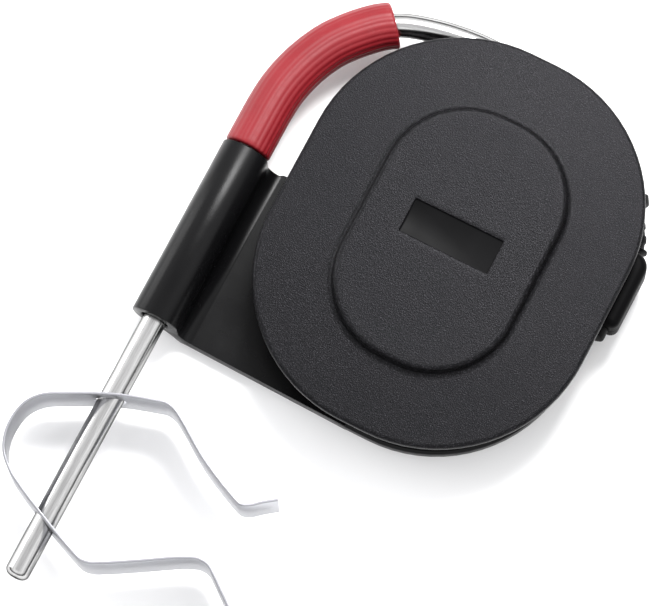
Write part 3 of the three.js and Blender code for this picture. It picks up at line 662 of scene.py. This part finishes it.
def cover():
    hx, hy, r, e = COVER["hx"], COVER["hy"], COVER["r"], COVER["edge"]
    z0, z1 = COVER["z0"], COVER["z1"]
    s, t = HUB["hx"] - HUB["wall"] - SKIRT["gap"], HUB["hy"] - HUB["wall"] - SKIRT["gap"]
    q, w = HUB["r"] - HUB["wall"] - SKIRT["gap"], SKIRT["wall"]
    loops = [rr(s - w, t - w, q - w, BOSS["top"]), rr(s - w, t - w, q - w, SKIRT["z0"] + 0.15)]
    loops += [rr(s - w + 0.15, t - w + 0.15, q - w + 0.15, SKIRT["z0"]), rr(s - 0.15, t - 0.15, q - 0.15, SKIRT["z0"])]
    loops += [rr(s, t, q, SKIRT["z0"] + 0.15), rr(s, t, q, z0 - 0.25), rr(s + 0.08, t + 0.08, q + 0.08, z0 - 0.07), rr(s + 0.25, t + 0.25, q + 0.25, z0)]
    for i in range(9):
        a = math.radians(90 * i / 8)
        d = e * (1 - math.sin(a))
        loops.append(rr(hx - d, hy - d, r - d, z0 + e * (1 - math.cos(a))))
    for i in range(11):
        a = math.radians(90 * i / 10)
        d = e * (1 - math.cos(a))
        loops.append(rr(hx - d, hy - d, r - d, z1 - e + e * math.sin(a)))
    cx, cy, I, rise = ISLAND["x"], ISLAND["y"], ISLAND, ISLAND["z1"] - COVER["z1"]
    # hollow fillet at the island's foot, then its drafted and rounded side
    for i in range(7):
        a = math.radians(78 * i / 6)
        d = 0.95 - 0.95 * math.sin(a)
        loops.append(rr(I["hx"] + d, I["hy"] + d, I["r"] + d, z1 + 0.55 * (1 - math.cos(a)), cx, cy))
    for i in range(11):
        a = math.radians(14 + 76 * i / 10)
        d = 0.08 + (I["draft"] - 0.45) * (1 - math.cos(a))
        loops.append(rr(I["hx"] - d, I["hy"] - d, I["r"] - d, z1 + rise - 1.05 * (1 - math.sin(a)), cx, cy))
    lw, lh, lz = LABEL["w"] / 2, LABEL["h"] / 2, I["z1"]
    d = I["draft"] + 0.5
    loops.append(rr(I["hx"] - d, I["hy"] - d, I["r"] - d, lz, cx, cy))
    for d, z, k in ((0.9, 0.0, 1.0), (0.16, 0.0, 0.5), (0.08, -0.02, 0.42), (0.02, -0.07, 0.36), (0.0, -0.14, 0.34), (-0.02, -0.3, 0.32), (-0.06, -0.36, 0.28), (-0.14, -0.4, 0.2)):
        loops.append(rr(lw + d, lh + d, k, lz + z, cx, LABEL["y"]))
    part = loft(loops)
    bosses = []
    for x in (-BOSS["x"], BOSS["x"]):
        for y in (-BOSS["y"], BOSS["y"]):
            bosses.append(
                upright(
                    x, y,
                    [(12.5, 0), (12.5, 2.7), (BOSS["z0"] + 0.2, 2.7), (BOSS["z0"], 2.5), (BOSS["z0"], 1.5), (BOSS["z0"] + 0.2, 1.3), (BOSS["pilot_top"], 1.3), (BOSS["pilot_top"], 0)],
                )
            )
    ob = mesh_object("cover_shell", *merged(part, *bosses), sharp=30.0)
    dress(ob, cover_m, label_m)
    for f in ob.data.polygons:
        c = f.center / MM
        if abs(c.x - cx) < lw - 0.01 and abs(c.y - LABEL["y"]) < lh - 0.01 and c.z > 14.3:
            f.material_index = 1
    return settle(ob, "winder", ["front_cover"], "cover_grained")


cover()


# ------------------------------------------------------------------ rear body

def rear():
    hx, hy, r, e, t = REAR["hx"], REAR["hy"], REAR["r"], REAR["edge"], REAR["t"]
    H, w = HUB, HUB["wall"]
    loops = [rr(H["hx"] - w, H["hy"] - w, H["r"] - w, t), rr(H["hx"] - w, H["hy"] - w, H["r"] - w, H["z1"] - 0.2)]
    loops += [rr(H["hx"] - w + 0.2, H["hy"] - w + 0.2, H["r"] - w + 0.2, H["z1"]), rr(H["hx"] - 0.2, H["hy"] - 0.2, H["r"] - 0.2, H["z1"])]
    loops += [rr(H["hx"], H["hy"], H["r"], H["z1"] - 0.2)]
    loops += [rr(H["hx"], H["hy"], H["r"], t + 0.22), rr(H["hx"] + 0.06, H["hy"] + 0.06, H["r"] + 0.06, t + 0.06), rr(H["hx"] + 0.22, H["hy"] + 0.22, H["r"] + 0.22, t)]
    for i in range(9):
        a = math.radians(90 * i / 8)
        d = e * (1 - math.sin(a))
        loops.append(rr(hx - d, hy - d, r - d, t - e * (1 - math.cos(a))))
    for i in range(9):
        a = math.radians(90 * i / 8)
        d = e * (1 - math.cos(a))
        loops.append(rr(hx - d, hy - d, r - d, e - e * math.sin(a)))
    body = mesh_object("winder_back", *loft(loops))
    # web in plan
    web = [(-31.0, -32.3), (-2.0, -32.95), (-2.0, -18.0), (-20.0, 0.0), (-20.0, 3.0)]
    web += [(-hx + 0.15 - 3.2 + x, WEB_Y1 + 3.2 - y) for x, y in ((3.2 * math.cos(a), 3.2 * math.sin(a)) for a in np.radians(np.linspace(0, 90, 13)))]
    web += [(-30.3, WEB_Y1 - 0.06), (-31.0, SHEATH["y1"])]
    combine(body, tool(prism(web, 0.0, t)), "UNION")
    # sheath in section, with its hollow fillet to the web and its rounded foot
    x0, z0, R = SHEATH["x"], SHEATH["z"], SHEATH["r"]
    section = [(-27.5, 0.0), (-27.5, 2.5)]
    section += [(-30.5 - 2.4 * math.sin(a), 4.9 - 2.4 * math.cos(a)) for a in np.radians(np.linspace(0, 90, 13))]
    section += [(x0 + R * math.cos(a), z0 + R * math.sin(a)) for a in np.radians(np.linspace(2, 285, 76))]
    section += [(-35.3, 2.78), (-34.75, 2.3), (-34.2, 1.7), (-33.8, 1.1), (-33.25, 0.35), (-33.0, 0.12), (-32.8, 0.0)]
    n = len(section)
    cx = sum(p[0] for p in section) / n
    rows = []
    for y, d in ((SHEATH["y0"], 0.16), (SHEATH["y0"] + 0.05, 0.05), (SHEATH["y0"] + 0.16, 0.0), (SHEATH["y1"] - 0.16, 0.0), (SHEATH["y1"] - 0.05, 0.05), (SHEATH["y1"], 0.16)):
        row = []
        for i, (x, z) in enumerate(section):
            (ax, az), (bx, bz) = section[i - 1], section[(i + 1) % n]
            dx, dz = bx - ax, bz - az
            k = math.hypot(dx, dz) or 1.0
            flat = x > -30.4 or z <= 0.001
            # inward is to the right of the way round, which runs anticlockwise
            row.append((x, y, z) if flat else (x - dz / k * d, y, z + dx / k * d))
        rows.append(row)
    combine(body, tool(loft(rows)), "UNION")
    # cradle that holds the jack, open towards +X
    cradle = tool(prism([(22.5, -11.0), (26.6, -11.0), (26.6, -3.6), (22.5, -3.6)], 1.0, 10.5))
    combine(cradle, tool(along_y(PLUG["x"], PLUG["z"], [(-14, 0), (-14, 1.6), (0, 1.6), (0, 0)], 40)), "DIFFERENCE")
    combine(cradle, tool(prism([(PLUG["x"], -13), (28, -13), (28, 0), (PLUG["x"], 0)], PLUG["z"] - 1.6, PLUG["z"] + 1.6)), "DIFFERENCE")
    combine(cradle, tool(prism([(25.6, -20), (30, -20), (30, 0), (25.6, 0)], 0.0, t + 0.1)), "DIFFERENCE")
    combine(body, cradle, "UNION")
    B = SHEATH["bore"]
    y0, y1 = SHEATH["y0"], SHEATH["y1"]
    bore = [(y0 - 1, 0), (y0 - 1, B + 0.25), (y0, B + 0.25), (y0 + 0.12, B + 0.07), (y0 + 0.3, B), (y1 - 0.3, B), (y1 - 0.12, B + 0.07), (y1, B + 0.25), (y1 + 1, B + 0.25), (y1 + 1, 0)]
    combine(body, tool(along_y(x0, z0, bore, 64)), "DIFFERENCE")
    for x in (-BOSS["x"], BOSS["x"]):
        for y in (-BOSS["y"], BOSS["y"]):
            hole = [(-1, 0), (-1, 2.7), (0, 2.7), (0.12, 2.57), (0.2, 2.55), (1.65, 2.55), (1.65, 1.35), (t + 1, 1.35), (t + 1, 0)]
            combine(body, tool(upright(x, y, hole)), "DIFFERENCE")
    tidy(body, 33.0)
    return settle(body, "winder", ["rear_body"], "body_smooth", rear_m)


rear()


# ------------------------------------------------------------------ screws

def screws():
    head = [(9.0, 0), (9.0, 0.35), (8.2, 1.0), (1.5, 1.0), (1.5, 2.05), (1.42, 2.2), (0.95, 2.2), (0.7, 2.15), (0.47, 2.0), (0.3, 1.75), (0.22, 1.4), (0.2, 0.9), (0.2, 0)]
    source = mesh_object("screw", *upright(0, 0, head))
    for part in (
        prism([(-1.25, -0.2), (-0.3, -0.26), (0.3, -0.26), (1.25, -0.2), (1.25, 0.2), (0.3, 0.26), (-0.3, 0.26), (-1.25, 0.2)], -1, 0.85),
        prism([(-0.2, -1.25), (0.2, -1.25), (0.26, -0.3), (0.26, 0.3), (0.2, 1.25), (-0.2, 1.25), (-0.26, 0.3), (-0.26, -0.3)], -1, 0.85),
    ):
        combine(source, tool(part), "DIFFERENCE")
    k = 1
    for y in (BOSS["y"], -BOSS["y"]):
        for x in (-BOSS["x"], BOSS["x"]):
            me = source.data.copy()
            me.transform(Matrix.Translation((x * MM, y * MM, 0)) @ Matrix.Rotation(math.radians(17 + 40 * k), 4, "Z"))
            ob = bpy.data.objects.new(f"screw_{k}", me)
            scene.collection.objects.link(ob)
            tidy(ob, 33.0)
            settle(ob, "winder", [f"cover_screw_{k}"], "screw_zinc", zinc_m)
            k += 1
    bpy.data.objects.remove(source, do_unlink=True)


screws()


# ------------------------------------------------------------------ probe rod, sleeve, ferrule

def rod():
    L, r, q = rod_line.length, ROD["r"], ROD["bore"]
    prof = [(0.0, 0.0), (0.0, 0.5), (0.03, 0.85), (0.11, 1.17), (0.24, 1.44), (0.42, 1.67), (0.64, 1.84), (0.88, 1.95), (1.12, 1.995), (1.3, r)]
    outer = [3.0, 8.0] + list(np.arange(14.0, 86.0, 6.0)) + list(np.arange(86.0, L - 0.4, 0.9)) + [L - 0.12]
    prof += [(s, r) for s in outer] + [(L, r - 0.1), (L, q + 0.1), (L - 0.1, q)]
    prof += [(s, q) for s in reversed(outer[:-1])] + [(ROD["plug"] + 0.25, q), (ROD["plug"], q - 0.25), (ROD["plug"], 0.0)]
    ob = mesh_object("probe_rod", *pipe(rod_line, prof, 48))
    settle(ob, "probe", ["probe_tube"], "steel_polished", steel_m)


def sleeve():
    pts = np.vstack([[(-37.0, y, 0.0) for y in (SLEEVE["y0"], 1.5, 3.0, 4.5, 6.0)], catmull(ROD_LINE, 12, 2, SLEEVE_END)])
    pts[:, 2] = SHEATH["z"]
    line = Line(pts)
    L, R = line.length, SLEEVE["r"]
    ribs, depth = 24, 0.12

    def shape(r, a, s):
        if r < 3.2:
            return r
        fade = min(1.0, (r - 3.2) / 0.55)
        wave = 0.5 - 0.5 * math.cos(ribs * a)
        # the ribs are worn down on the outside of the bend
        worn = 0.5 + 0.5 * math.cos(a - math.radians(35))
        return r - depth * fade * (1.0 - 0.68 * worn) * (wave**1.6)

    prof = [(0.0, 2.3), (0.0, 3.3), (0.03, 3.55), (0.11, 3.76), (0.25, 3.9), (0.45, R)]
    count = 64
    prof += [(0.45 + (L - 1.0) * i / count, R) for i in range(1, count + 1)]
    prof += [(L - 0.32, 3.93), (L - 0.17, 3.83), (L - 0.06, 3.66), (L, 3.4), (L, 2.3), (L - 0.12, 2.12)]
    prof += [(L - 0.4 - (L - 0.8) * i / 24, 2.1) for i in range(25)] + [(0.12, 2.12)]
    skew = lambda s: SLEEVE["skew"] * ease(s, L - 7.0, L)
    ob = mesh_object("sleeve_ribbed", *pipe(line, prof, ribs * 8, shape, closed=True, tilt=skew), sharp=50.0)
    settle(ob, "probe", ["grip_sleeve"], "silicone_red", silicone_m)


def ferrule():
    at = rod_end - end_dir * FERRULE["back"]
    line = Line([at, at + end_dir * 12])
    R, n, b = FERRULE["r"], FERRULE["neck"], FERRULE["back"]
    end = b + FERRULE["front"]
    prof = [(0, 2.12), (0, R - 0.15), (0.15, R), (b + 0.2, R), (b + 0.45, R - 0.06), (b + 1.5, n + 0.06), (b + 1.75, n)]
    for s in (b + 2.5, b + 3.7, b + 4.9):
        prof += [(s - 0.35, n), (s - 0.2, n - 0.12), (s, n - 0.19), (s + 0.2, n - 0.12), (s + 0.35, n)]
    prof += [(end - 0.12, n), (end, n - 0.12), (end, 1.2), (end - 0.12, 1.08), (b + 0.45, 1.08), (b + 0.35, 1.3), (b + 0.35, 2.12)]

    def shape(r, a, s):
        if s > b + 1.9 and r > 1.3:
            return r - 0.05 * (0.5 - 0.5 * math.cos(6 * a))
        return r

    ob = mesh_object("ferrule_crimped", *pipe(line, prof, 48, shape, closed=True))
    settle(ob, "probe", ["crimp_ferrule"], "steel_polished", ferrule_m)


rod()
sleeve()
ferrule()


# ------------------------------------------------------------------ plug

def plug():
    w, h, tall = PLUG["w"] / 2, PLUG["y1"], PLUG["t"] / 2

    def outline(inset, z):
        out = []
        for cx, cy, r, start in ((w - 2.6, h - 2.6, 2.6, 0), (-w + 2.6, h - 2.6, 2.6, 90), (-w + 1.4, 1.4, 1.4, 180), (w - 1.4, 1.4, 1.4, 270)):
            q = max(r - inset, 0.05)
            for i in range(13):
                a = math.radians(start + 90 * i / 12)
                out.append((PLUG["x"] + cx + q * math.cos(a), PLUG["y0"] + cy + q * math.sin(a), PLUG["z"] + z))
        return out

    b = 1.3
    loops = []
    for i in range(13):
        a = math.radians(90 * i / 12)
        loops.append(outline(b * (1 - math.sin(a)), -tall + b * (1 - math.cos(a))))
    loops += [outline(0.0, -0.09), outline(0.05, -0.03), outline(0.05, 0.03), outline(0.0, 0.09)]
    for i in range(13):
        a = math.radians(90 * i / 12)
        loops.append(outline(b * (1 - math.cos(a)), tall - b + b * math.sin(a)))
    body = loft(loops)
    R, y = PLUG["collar_r"], PLUG["collar_y"]
    collar = along_y(PLUG["x"], PLUG["z"], [(0.9, 0), (0.9, R), (0.15, R + 0.0), (-0.05, R - 0.12), (-0.15, R), (y + 0.3, R), (y + 0.09, R - 0.09), (y, R - 0.3), (y, 1.45), (y + 0.2, 1.3), (y + 0.6, 1.3), (y + 0.6, 0)], 64, y0=PLUG["y0"])
    ob = mesh_object("plug_shell", *merged(body, collar))
    settle(ob, "plug", ["plug_body"], "plug_moulding", plug_m)


def relief():
    pts = [(x, y, PLUG["z"]) for x, y, *_ in RELIEF]
    line = Line(np.array([(p[0], p[1], PLUG["z"]) for p in catmull([q[:2] for q in pts], 10)]))
    at = [float(line.s[min(i * 10, len(line.s) - 1)]) for i in range(len(RELIEF))]
    L = line.length
    prof = [(0.0, 0.0), (0.0, 2.75), (0.06, 2.86), (0.2, 2.9), (0.5, 2.86), (0.6, 2.7), (0.6, 2.4), (0.75, 2.3)]
    for i in (1, 2, 3):
        r, h, s = RELIEF[i][3], RELIEF[i][4] / 2, at[i]
        n = r - 0.22
        prof += [(s - h - 0.1, n), (s - h, n + 0.04), (s - h + 0.07, r - 0.07), (s - h + 0.22, r), (s + h - 0.22, r), (s + h - 0.07, r - 0.07), (s + h, n + 0.04), (s + h + 0.1, n)]
    for i in (4,):
        r, h, s = RELIEF[i][3], RELIEF[i][4] / 2, at[i]
        prof += [(s - h - 0.1, 1.95), (s - h, 2.05), (s - h, r - 0.22), (s - h + 0.07, r - 0.07), (s - h + 0.22, r), (s + h - 0.22, r), (s + h - 0.07, r - 0.07), (s + h, r - 0.22), (s + h, 2.05), (s + h + 0.1, 1.95)]
    prof = [p for p in prof if p[0] < L - 0.65]
    prof += [(L - 0.6, 2.0), (L - 0.5, 2.15), (L - 0.3, 2.2), (L - 0.08, 2.12), (L, 1.95), (L, 1.45), (L - 0.12, 1.25), (L - 1.5, 1.2), (L - 1.5, 0.0)]
    ob = mesh_object("relief_ribbed", *pipe(line, prof, 48))
    settle(ob, "plug", ["strain_relief"], "plug_moulding", plug_m)


def jack():
    x, z, y0, r = PLUG["x"], PLUG["z"], PLUG["y0"], JACK["r"]
    ob = mesh_object("jack_shank", *along_y(x, z, [(-9.9, 0.85), (-9.9, r - 0.06), (-9.84, r), (1.3, r), (1.3, 1.9), (2.6, 1.9), (2.6, 1.45), (4.2, 1.45), (4.2, 0.85)], closed=True, y0=y0))
    settle(ob, "plug", ["jack_sleeve"], "nickel_plate", nickel_m)
    ob = mesh_object("jack_ring", *along_y(x, z, [(-10.7, 0.5), (-10.7, r - 0.03), (-10.67, r), (-10.03, r), (-10.0, r - 0.03), (-10.0, 0.78), (5.2, 0.78), (5.2, 0.5)], closed=True, y0=y0))
    settle(ob, "plug", ["jack_insulator"], "insulator_black", insulator_m)
    T = JACK["tip"]
    prof = [(T, 0), (T, 0.2), (T + 0.05, 0.42), (T + 0.2, 0.65), (T + 0.45, 0.9), (T + 0.7, 1.08), (T + 0.88, 1.15), (-11.85, 1.13), (-11.65, 0.97), (-11.5, 0.87), (-11.38, 0.9), (-11.2, 1.1), (-11.08, 1.22), (-11.0, r), (-10.85, r), (-10.8, r - 0.05), (-10.8, 0.43), (6.5, 0.43), (6.6, 0.35), (6.6, 0)]
    ob = mesh_object("jack_point", *along_y(x, z, prof, y0=y0))
    settle(ob, "plug", ["jack_tip"], "nickel_plate", nickel_m)


plug()
relief()
jack()


# ------------------------------------------------------------------ spring clip

def clip():
    centre = catmull(CLIP_LINE, 8)
    centre[:, 2] = (CLIP["z0"] + CLIP["z1"]) / 2
    line = Line(centre)
    half, tall, c = CLIP["t"] / 2, (CLIP["z1"] - CLIP["z0"]) / 2, 0.11
    section = []
    for sx, sz, start in ((1, 1, 0), (-1, 1, 90), (-1, -1, 180), (1, -1, 270)):
        for i in range(4):
            a = math.radians(start + 30 * i)
            section.append((sx * (half - c) + c * math.cos(a), sz * (tall - c) + c * math.sin(a)))
    m = len(section)
    around = np.r_[0, np.cumsum([math.dist(section[i], section[(i + 1) % m]) for i in range(m)])]
    verts, faces, uvs = [], [], []
    for p, t, nn in zip(line.p, line.t, line.n):
        b = np.cross(t, nn)
        for u, v in section:
            verts.append(p + nn * u + b * v)
    rows = len(line.p)
    for i in range(rows - 1):
        for k in range(m):
            k2 = (k + 1) % m
            faces.append((i * m + k, i * m + k2, (i + 1) * m + k2, (i + 1) * m + k))
            uvs.append(((line.s[i], around[k]), (line.s[i], around[k + 1]), (line.s[i + 1], around[k + 1]), (line.s[i + 1], around[k])))
    faces.append(tuple(reversed(range(m))))
    uvs.append([(0.0, around[k]) for k in reversed(range(m))])
    faces.append(tuple((rows - 1) * m + k for k in range(m)))
    uvs.append([(line.s[-1], around[k]) for k in range(m)])
    ob = mesh_object("clip_strip", verts, faces, uvs, sharp=50.0)
    combine(ob, tool(along_y(SHEATH["x"], SHEATH["z"], [(-90, 0), (-90, CLIP["hole"]), (-28, CLIP["hole"]), (-28, 0)], 64, y0=-10.0)), "DIFFERENCE")
    tidy(ob, 40.0)
    dress(ob, strip_m, strip_edge_shade_m)
    # the strip's sheared edges are rougher than its rolled faces; their darker colour is painted shade for the dark
    # edge lines
    for f in ob.data.polygons:
        f.material_index = 1 if abs(f.center.z / MM - (CLIP["z0"] + CLIP["z1"]) / 2) > tall - 0.06 else 0
    settle(ob, "clip", ["grill_clip"], "spring_strip")


clip()

# ------------------------------------------------------------------ what stays from the CAD

for node, material in (
    ("tip_potting", potting_m), ("sensor_bead", bead_m), ("lead_wire_a", copper_m), ("lead_wire_b", copper_m),
    ("lead_insulation", fibre_m), ("tip_lug", copper_m),
):
    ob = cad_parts[node]
    if not ob.material_slots:
        ob.data.materials.append(material)
    for s in ob.material_slots:
        s.material = material

# ------------------------------------------------------------------ floor, world, lights

def studio():
    verts = [(-1500, -1500, -0.05), (1500, -1500, -0.05), (1500, 1500, -0.05), (-1500, 1500, -0.05)]
    floor = mesh_object("floor", verts, [(0, 1, 2, 3)])
    m = Nodes("floor pale")
    n = m.noise(m.place(), 30.0, 3.0)
    m.set(Base_Color=m.mix(n, (0.90, 0.90, 0.90, 1), (0.92, 0.92, 0.92, 1)))
    m.b.inputs["Roughness"].default_value = 0.9
    m.b.inputs["Specular IOR Level"].default_value = 0.1
    dress(floor, m.m)

    world = bpy.data.worlds.new("studio")
    scene.world = world
    world.use_nodes = True
    t = world.node_tree
    t.nodes.clear()
    out = t.nodes.new("ShaderNodeOutputWorld")
    back = t.nodes.new("ShaderNodeBackground")
    coord = t.nodes.new("ShaderNodeTexCoord")
    split = t.nodes.new("ShaderNodeSeparateXYZ")
    ramp = t.nodes.new("ShaderNodeValToRGB")
    t.links.new(coord.outputs["Generated"], split.inputs[0])
    t.links.new(split.outputs[2], ramp.inputs[0])
    t.links.new(ramp.outputs[0], back.inputs[0])
    t.links.new(back.outputs[0], out.inputs[0])
    stops = ((0.0, 0.03), (0.22, 0.05), (0.48, 0.80), (0.78, 0.92), (0.94, 0.60), (1.0, 0.52))
    ramp.color_ramp.elements[0].position, ramp.color_ramp.elements[1].position = stops[0][0], stops[-1][0]
    for at, _ in stops[1:-1]:
        ramp.color_ramp.elements.new(at)
    for e, (_, v) in zip(ramp.color_ramp.elements, stops):
        e.color = (v, v, v * 1.01, 1)
    back.inputs[1].default_value = 1.9

    def area(name, place, aim, size, power, colour=(1, 1, 1)):
        data = bpy.data.lights.new(name, "AREA")
        data.shape, data.size, data.energy, data.color = "SQUARE", size, power, colour
        ob = bpy.data.objects.new(name, data)
        scene.collection.objects.link(ob)
        d = Vector(aim) - Vector(place)
        ob.matrix_world = Matrix.Translation(place) @ d.to_track_quat("-Z", "Y").to_matrix().to_4x4()

    area("key_left", (-0.85, 0.05, 0.24), (0, 0, 0), 0.5, 4.0)
    area("key_top", (-0.016, 0.156, 0.263), (0, 0.01, 0), 0.11, 1.55)


studio()
scene.view_settings.view_transform = "Standard"
